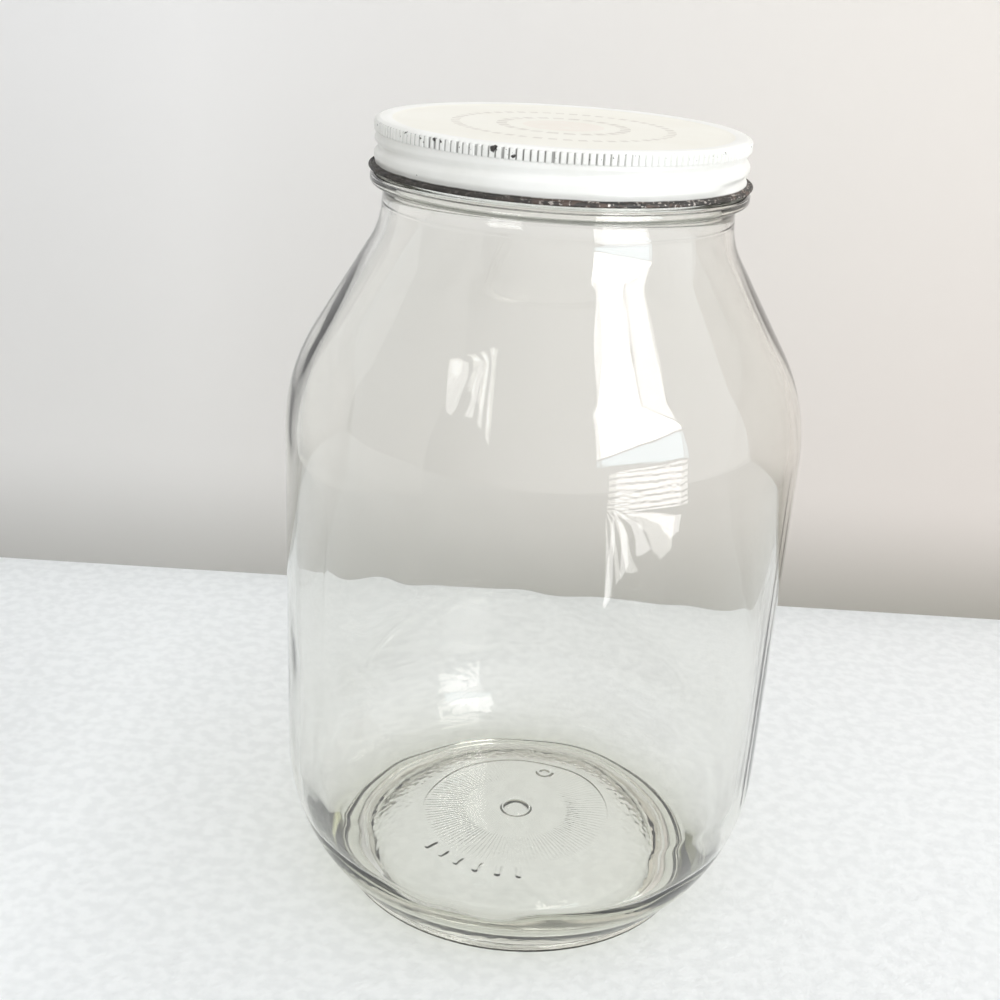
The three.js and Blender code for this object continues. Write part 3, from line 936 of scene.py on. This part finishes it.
def enamel_material():
    """White enamel: cream panel, worn print, dirt and painted shade in the flutes, painted
    shade in the crevice above the curl, chips on their tops.
    """
    material, shading, shader, place = new_material("white_enamel")
    radius, height, turns = round_places(shading, place)
    cloud = shading.group(MOTTLE, Place=place, Scale=55.0, Low=0.0, High=1.0)
    white = shading.blend(cloud, ENAMEL_WHITE, ENAMEL_DULL)
    cream = shading.blend(cloud, PANEL_CREAM, PANEL_DULL)
    top = shading.rise(height, TOTAL_HEIGHT - 1.2 * MM, TOTAL_HEIGHT - 0.9 * MM)
    panel = shading.rise(radius, LID_PANEL_RADIUS, LID_PANEL_RADIUS + 0.9 * MM, 1.0, 0.0)
    colour = shading.blend(shading.times(top, panel), white, cream)

    dashes, disc = lid_print(shading, place, radius, turns)
    dashes = shading.times(dashes, top, PRINT_STRENGTH)
    disc = shading.times(disc, top, DISC_STRENGTH)
    colour = shading.blend(dashes, colour, PRINT_GREY)
    colour = shading.blend(disc, colour, PRINT_ROSE)

    # Dirt and painted shade in the flute slots, which painted glare takes away on the lit side.
    slot = shading.rise(radius, LID_RADIUS + 0.02 * MM, FLUTE_CREST - 0.18 * MM, 1.0, 0.0)
    fluted = shading.band(height, FLUTE_BOTTOM + 0.2 * MM, FLUTE_TOP - 0.5 * MM, 0.4 * MM)
    patchy = shading.group(MOTTLE, Place=place, Scale=60.0, Low=0.6, High=0.95)
    side = shading.rise(towards_glare(shading, place), *GLARE_REACH, 1.0, 0.08)
    dirt_and_shade = shading.times(slot, fluted, patchy, side)
    # Painted shade, in patches, along the crevice just above the curl.
    crevice_shade = shading.band(height, CURL_HEIGHT - 1 * MM, CURL_HEIGHT + 0.9 * MM, 0.35 * MM)
    outward = shading.rise(radius, LID_RADIUS - 0.2 * MM, LID_RADIUS - 0.1 * MM)
    crevice_patches = shading.group(MOTTLE, Place=place, Scale=130.0, Low=0.3, High=0.95)
    crevice_shade = shading.times(crevice_shade, outward, crevice_patches)
    colour = shading.blend(dirt_and_shade, colour, FLUTE_DIRT_AND_SHADE)
    colour = shading.blend(crevice_shade, colour, CREVICE_PAINTED_SHADE)

    edge = shading.rise(radius, LID_RADIUS - 0.5 * MM, LID_RADIUS)
    high_edge = shading.band(height, FLUTE_TOP - 2 * MM, FLUTE_TOP + 0.1 * MM, 0.3 * MM)
    pin = shading.group(SPECKS, Place=place, Scale=1300.0, Cover=0.335, Softness=0.03)
    pin = shading.times(pin, edge, high_edge)
    bare = shading.maths("MAXIMUM", pin, chip_mask(shading, place))
    stray = shading.group(SPECKS, Place=place, Scale=700.0, Cover=0.24, Softness=0.02)
    bare = shading.maths("MAXIMUM", bare, shading.times(stray, 0.7))
    colour = shading.blend(bare, colour, CHIP_IRON)
    shading.feed(shader.inputs["Base Color"], colour)

    gloss = shading.group(MOTTLE, Place=place, Scale=60.0, Low=0.30, High=0.335)
    dull = shading.maths("MAXIMUM", bare, dirt_and_shade)
    rough = shading.maths("ADD", gloss, shading.times(dull, 0.35))
    shading.feed(shader.inputs["Roughness"], rough)
    peel = shading.group(GRAIN, Place=place, Scale=500.0, Coarse=0.8)
    shading.feed(shader.inputs["Normal"], shading.bump(peel, PEEL_DEPTH))
    return material


def curl_material():
    """Bare steel of the curled rim: nearly black, with worn bright specks and rust that gather
    on the lit side, partly real wear and partly painted light.
    """
    material, shading, shader, place = new_material("bare_worn_steel")
    cloud = shading.group(MOTTLE, Place=place, Scale=90.0, Low=0.0, High=1.0)
    colour = shading.blend(cloud, CURL_BLACK, CURL_BROWN)
    # The curl is painted lighter on the lit side: more rust and bright specks there, partly
    # painted light.
    side = shading.rise(towards_glare(shading, place), *CURL_WEAR_AND_LIGHT_REACH, 0.15, 1.0)
    rust = shading.group(SPECKS, Place=place, Scale=240.0, Cover=0.5, Softness=0.1)
    rust = shading.times(rust, side)
    colour = shading.blend(rust, colour, CURL_RUST)
    worn = shading.group(SPECKS, Place=place, Scale=900.0, Cover=0.43, Softness=0.05)
    worn = shading.times(worn, side)
    colour = shading.blend(worn, colour, CURL_BRIGHT)
    shading.feed(shader.inputs["Base Color"], colour)
    shading.feed(shader.inputs["Metallic"], shading.times(worn, 0.8))
    rough = shading.group(MOTTLE, Place=place, Scale=300.0, Low=0.5, High=0.75)
    shading.feed(shader.inputs["Roughness"], rough)
    pits = shading.group(GRAIN, Place=place, Scale=1200.0, Coarse=1.0)
    shading.feed(shader.inputs["Normal"], shading.bump(pits, PIT_DEPTH))
    return material


def clear_from_behind(shading, shader):
    """Lets the back of a surface be seen through, for views from behind or below."""
    back = shading.node("ShaderNodeNewGeometry").outputs["Backfacing"]
    clear = shading.node("ShaderNodeBsdfTransparent")
    front = shading.node("ShaderNodeMixShader", Fac=back)
    shading.links.new(shader.outputs["BSDF"], front.inputs[1])
    shading.links.new(clear.outputs["BSDF"], front.inputs[2])
    output = shading.nodes["Material Output"]
    shading.links.new(front.outputs["Shader"], output.inputs["Surface"])


def floor_material():
    """The white brushed surface that the jar stands on."""
    material, shading, shader, place = new_material("white_brushed_floor")
    shader.inputs["Specular IOR Level"].default_value = 0.15
    shader.inputs["Roughness"].default_value = 0.95
    cloud = shading.noise(place, 200.0, detail=1.0)
    cloud = shading.rise(cloud, 0.34, 0.66)
    shading.feed(shader.inputs["Base Color"], shading.blend(cloud, FLOOR_WHITE, FLOOR_SHADE))
    fleece = shading.noise(place, 520.0, detail=1.0)
    shading.feed(shader.inputs["Normal"], shading.bump(fleece, FLEECE_DEPTH, strength=0.5))
    clear_from_behind(shading, shader)
    return material


def backdrop_material():
    """A pale backdrop with painted shade that darkens it towards the floor and painted light
    that lifts it higher up. It can't be seen from behind.
    """
    material, shading, shader, _ = new_material("pale_backdrop")
    shader.inputs["Roughness"].default_value = 0.95
    shader.inputs["Specular IOR Level"].default_value = 0.1
    where = shading.node("ShaderNodeNewGeometry").outputs["Position"]
    split = shading.node("ShaderNodeSeparateXYZ", Vector=where).outputs
    side = shading.rise(split["X"], *BACKDROP_SIDES)
    # Painted light higher up and painted shade towards the floor.
    lift = shading.rise(split["Z"], *BACKDROP_LIFT)
    low = shading.rise(split["Z"], *BACKDROP_SHADE_FADE)
    left = shading.blend(lift, BACKDROP_LEFT, BACKDROP_LEFT_HIGH)
    right = shading.blend(lift, BACKDROP_RIGHT, BACKDROP_RIGHT_HIGH)
    upper = shading.blend(side, left, right)
    lower = shading.blend(side, BACKDROP_LEFT_PAINTED_SHADE, BACKDROP_RIGHT_PAINTED_SHADE)
    shading.feed(shader.inputs["Base Color"], shading.blend(low, lower, upper))
    clear_from_behind(shading, shader)
    return material


def card_material():
    """A grey card that glows where glass and gloss mirror it: a painted reflection, pale in
    those reflections alone.
    """
    material, shading, shader, _ = new_material("matt_grey_card")
    # Painted reflection: the card glows only for glossy rays.
    mirrored = shading.node("ShaderNodeLightPath").outputs["Is Glossy Ray"]
    sheen = shading.times(mirrored, CARD_MIRRORED_GLOW)
    shading.feed(shader.inputs["Emission Strength"], sheen)
    shader.inputs["Emission Color"].default_value = SKY_COLOUR
    shader.inputs["Base Color"].default_value = (*CARD_GREY, 1)
    shader.inputs["Roughness"].default_value = 1
    return material


def pane_glow(shading, across, up):
    """The tall bright pane, and the haze beside its upper part."""
    high = shading.rise(up, *PANE_NARROWS, PANE_LEFT, PANE_LEFT_HIGH)
    left = shading.rise(shading.maths("SUBTRACT", across, high), -PANE_EDGE, PANE_EDGE)
    narrow = shading.times(shading.maths("SUBTRACT", up, HAZE_START), HAZE_SLOPE)
    narrow = shading.maths("MINIMUM", shading.maths("MAXIMUM", narrow, 0.0), HAZE_REACH)
    leant = shading.maths("SUBTRACT", up, shading.times(across, BAR_SLOPE))
    above = shading.rise(leant, PANE_BOTTOM - MM, PANE_BOTTOM + MM)
    beyond = shading.maths("SUBTRACT", shading.maths("ADD", across, narrow), PANE_RIGHT)
    solid = shading.rise(beyond, -PANE_EDGE, PANE_EDGE, 1.0, 0.0)
    wide = shading.rise(across, PANE_RIGHT - 3 * PANE_EDGE, PANE_RIGHT, 1.0, 0.0)
    wide = shading.times(wide, shading.rise(beyond, *HAZE_GAP, HAZE_GAP_GLOW, 1.0))
    low = shading.rise(up, HAZE_TOP, HAZE_TOP + HAZE_FADE, 1.0, 0.0)
    haze = shading.times(wide, low, HAZE_GLOW)
    glow = shading.maths("MAXIMUM", shading.times(solid, PANE_GLOW), haze)
    glow = shading.times(glow, left, above)
    return glow, left, leant


def strip_glow(shading, across, up, left, leant):
    """The slanted bluish strip under the pane."""
    under = shading.rise(leant, STRIP_TOP - MM, STRIP_TOP + MM, 1.0, 0.0)
    drop = shading.maths("ADD", up, shading.times(across, STRIP_SLOPE))
    over = shading.rise(drop, STRIP_BOTTOM - PANE_EDGE, STRIP_BOTTOM + PANE_EDGE)
    right = shading.rise(across, PANE_RIGHT - PANE_EDGE, PANE_RIGHT, 1.0, 0.0)
    return shading.times(under, over, left, right, STRIP_GLOW)


def folds_glow(shading, place, across, up):
    """Level folds, and under them the folds that fan out from one corner."""
    wide = shading.band(across, FOLDS_LEFT, FOLDS_RIGHT, PANE_EDGE)
    tall = shading.band(up, FOLDS_BOTTOM, FOLDS_TOP, PANE_EDGE)
    loose = shading.noise(place, FOLDS_SCALE, detail=1.0)
    loose = shading.times(loose, FOLDS_LOOSE)
    fold = shading.maths("ADD", up, loose)
    wave = shading.maths("SINE", shading.times(fold, 2 * math.pi / FOLDS_PITCH))
    level = shading.times(shading.rise(wave, *FOLD_CREASE), tall, wide)
    right = shading.maths("SUBTRACT", across, FAN_CENTRE[0])
    down = shading.maths("SUBTRACT", up, FAN_CENTRE[1])
    turn = shading.maths("ARCTAN2", down, right)
    turn = shading.times(turn, 2 * math.pi / (FAN_PITCH_DEGREES * DEGREE))
    blades = shading.rise(shading.maths("SINE", turn), *FAN_CREASE)
    above = []
    for slope, foot in FAN_LOW_EDGES:
        rise = shading.maths("SUBTRACT", up, shading.times(across, slope))
        above.append(shading.rise(rise, foot - MM, foot + MM))
    inside = shading.maths("MAXIMUM", *above)
    inside = shading.times(inside, shading.band(across, FOLDS_LEFT, FAN_RIGHT, MM))
    under = shading.rise(up, FOLDS_BOTTOM - PANE_EDGE, FOLDS_BOTTOM, 1.0, 0.0)
    fan = shading.times(blades, inside, under)
    return shading.times(shading.maths("MAXIMUM", level, fan), FOLD_GLOW)


def light_panel_material():
    """What glows on the light panel. It lights the glass and gloss, from its front only."""
    material, shading, shader, place = new_material("light_panel")
    material.cycles.emission_sampling = "NONE"
    split = shading.node("ShaderNodeSeparateXYZ", Vector=place).outputs
    ragged = shading.noise(place, RAGGED_SCALE, detail=2.0)
    ragged = shading.times(shading.maths("SUBTRACT", ragged, 0.5), PANEL_RAGGED)
    across = shading.maths("ADD", split["X"], ragged)
    up = shading.maths("ADD", split["Z"], shading.times(ragged, 0.7))
    pane, left, leant = pane_glow(shading, across, up)
    strip = strip_glow(shading, across, up, left, leant)
    folds = folds_glow(shading, place, across, up)
    glow = shading.maths("MAXIMUM", pane, shading.maths("MAXIMUM", strip, folds))
    back = shading.node("ShaderNodeNewGeometry").outputs["Backfacing"]
    glow = shading.times(glow, shading.maths("SUBTRACT", 1.0, back))
    blue = shading.maths("GREATER_THAN", strip, 0.01)
    shader.inputs["Base Color"].default_value = (0, 0, 0, 1)
    colour = shading.blend(blue, (1.0, 1.0, 1.0), STRIP_COLOUR)
    shading.feed(shader.inputs["Emission Color"], colour)
    shading.feed(shader.inputs["Emission Strength"], glow)
    lit = shading.maths("MINIMUM", glow, 1.0)
    clear = shading.node("ShaderNodeBsdfTransparent")
    both = shading.node("ShaderNodeMixShader", Fac=lit)
    shading.links.new(clear.outputs["BSDF"], both.inputs[1])
    shading.links.new(shader.outputs["BSDF"], both.inputs[2])
    output = shading.nodes["Material Output"]
    shading.links.new(both.outputs["Shader"], output.inputs["Surface"])
    return material


def make_camera():
    yaw = CAMERA_YAW_DEGREES * DEGREE
    pitch = CAMERA_PITCH_DEGREES * DEGREE
    roll = CAMERA_ROLL_DEGREES * DEGREE
    forward = Vector((
        math.sin(yaw) * math.cos(pitch),
        math.cos(yaw) * math.cos(pitch),
        -math.sin(pitch),
    ))
    level = Vector((math.cos(yaw), -math.sin(yaw), 0))
    upward = level.cross(forward)
    right = math.cos(roll) * level + math.sin(roll) * upward
    up = math.cos(roll) * upward - math.sin(roll) * level
    camera = bpy.data.objects.new("camera", bpy.data.cameras.new("camera"))
    bpy.context.scene.collection.objects.link(camera)
    place = Matrix((right, up, -forward)).transposed().to_4x4()
    place.translation = Vector((0, -CAMERA_DISTANCE, CAMERA_HEIGHT))
    camera.matrix_world = place
    camera.data.sensor_width = 36
    camera.data.lens = CAMERA_LENS_MM
    camera.data.clip_start = 0.01
    camera.data.clip_end = 20
    bpy.context.scene.camera = camera


def make_plane(name, corners):
    mesh = bpy.data.meshes.new(name)
    mesh.from_pydata(corners, [], [(0, 1, 2, 3)])
    plane = bpy.data.objects.new(name, mesh)
    bpy.context.scene.collection.objects.link(plane)
    return plane


def make_floor_and_backdrop():
    half = STAGE_HALF
    low = -FLOOR_GAP
    foot = BACKDROP_FOOT
    floor = make_plane(
        "floor",
        [(-half, -half, low), (half, -half, low), (half, half, low), (-half, half, low)],
    )
    floor.data.materials.append(floor_material())
    backdrop = make_plane(
        "backdrop",
        [(-half, 0, foot), (half, 0, foot), (half, 0, half), (-half, 0, half)],
    )
    backdrop.location.y = BACKDROP_DEPTH
    backdrop.rotation_euler.z = BACKDROP_TURN_DEGREES * DEGREE
    backdrop.data.materials.append(backdrop_material())


def make_shade_card():
    """A grey card to the left, out of the camera's sight, that keeps light off that side."""
    card = make_plane(
        "shade_card",
        [
            (CARD_SIDE, CARD_NEAR, CARD_BOTTOM),
            (CARD_SIDE, CARD_FAR, CARD_BOTTOM),
            (CARD_SIDE, CARD_FAR, CARD_TOP),
            (CARD_SIDE, CARD_NEAR, CARD_TOP),
        ],
    )
    card.data.materials.append(card_material())
    card.visible_camera = False
    card.visible_transmission = False


def make_light_panel():
    """A patterned light in front and to the right, seen in the glass and the enamel alone."""
    left, right = PANE_LEFT - PANEL_RAGGED, PANE_RIGHT + PANEL_RAGGED
    panel = make_plane(
        "light_panel",
        [(left, 0, 0), (right, 0, 0), (right, 0, PANE_TOP), (left, 0, PANE_TOP)],
    )
    azimuth = PANEL_LIGHT_DEGREES * DEGREE
    panel.location.x = PANEL_LIGHT_DISTANCE * math.cos(azimuth)
    panel.location.y = PANEL_LIGHT_DISTANCE * math.sin(azimuth)
    panel.rotation_euler.z = azimuth + math.pi / 2
    panel.data.flip_normals()
    panel.data.materials.append(light_panel_material())
    panel.visible_camera = False
    panel.visible_diffuse = False


def make_sky():
    """Soft light from all round, brighter on the right."""
    world = bpy.data.worlds.new("soft_light")
    bpy.context.scene.world = world
    world.use_nodes = True
    shading = Shading(world.node_tree)
    direction = shading.node("ShaderNodeTexCoord").outputs["Generated"]
    towards = shading.vector("DOT_PRODUCT", direction, SKY_SIDE, output="Value")
    sky = shading.nodes["Background"]
    strength = shading.rise(towards, *SKY_REACH, SKY_DIM, SKY_BRIGHT)
    shading.feed(sky.inputs["Strength"], strength)
    sky.inputs["Color"].default_value = SKY_COLOUR
    world.cycles.sampling_method = "NONE"


make_camera()
make_floor_and_backdrop()
make_shade_card()
make_light_panel()
make_sky()

glass = make_glass()
glass.data.materials.append(glass_material())
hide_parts("glass_jar")
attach(glass, "root")

lid, rolled_start, outside_start = make_lid()
lid.data.materials.append(enamel_material())
lid.data.materials.append(curl_material())
paint_rolled_rows(lid, rolled_start, outside_start)
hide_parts("screw_lid")
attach(lid, "root")

bpy.context.scene.view_settings.view_transform = "Standard"
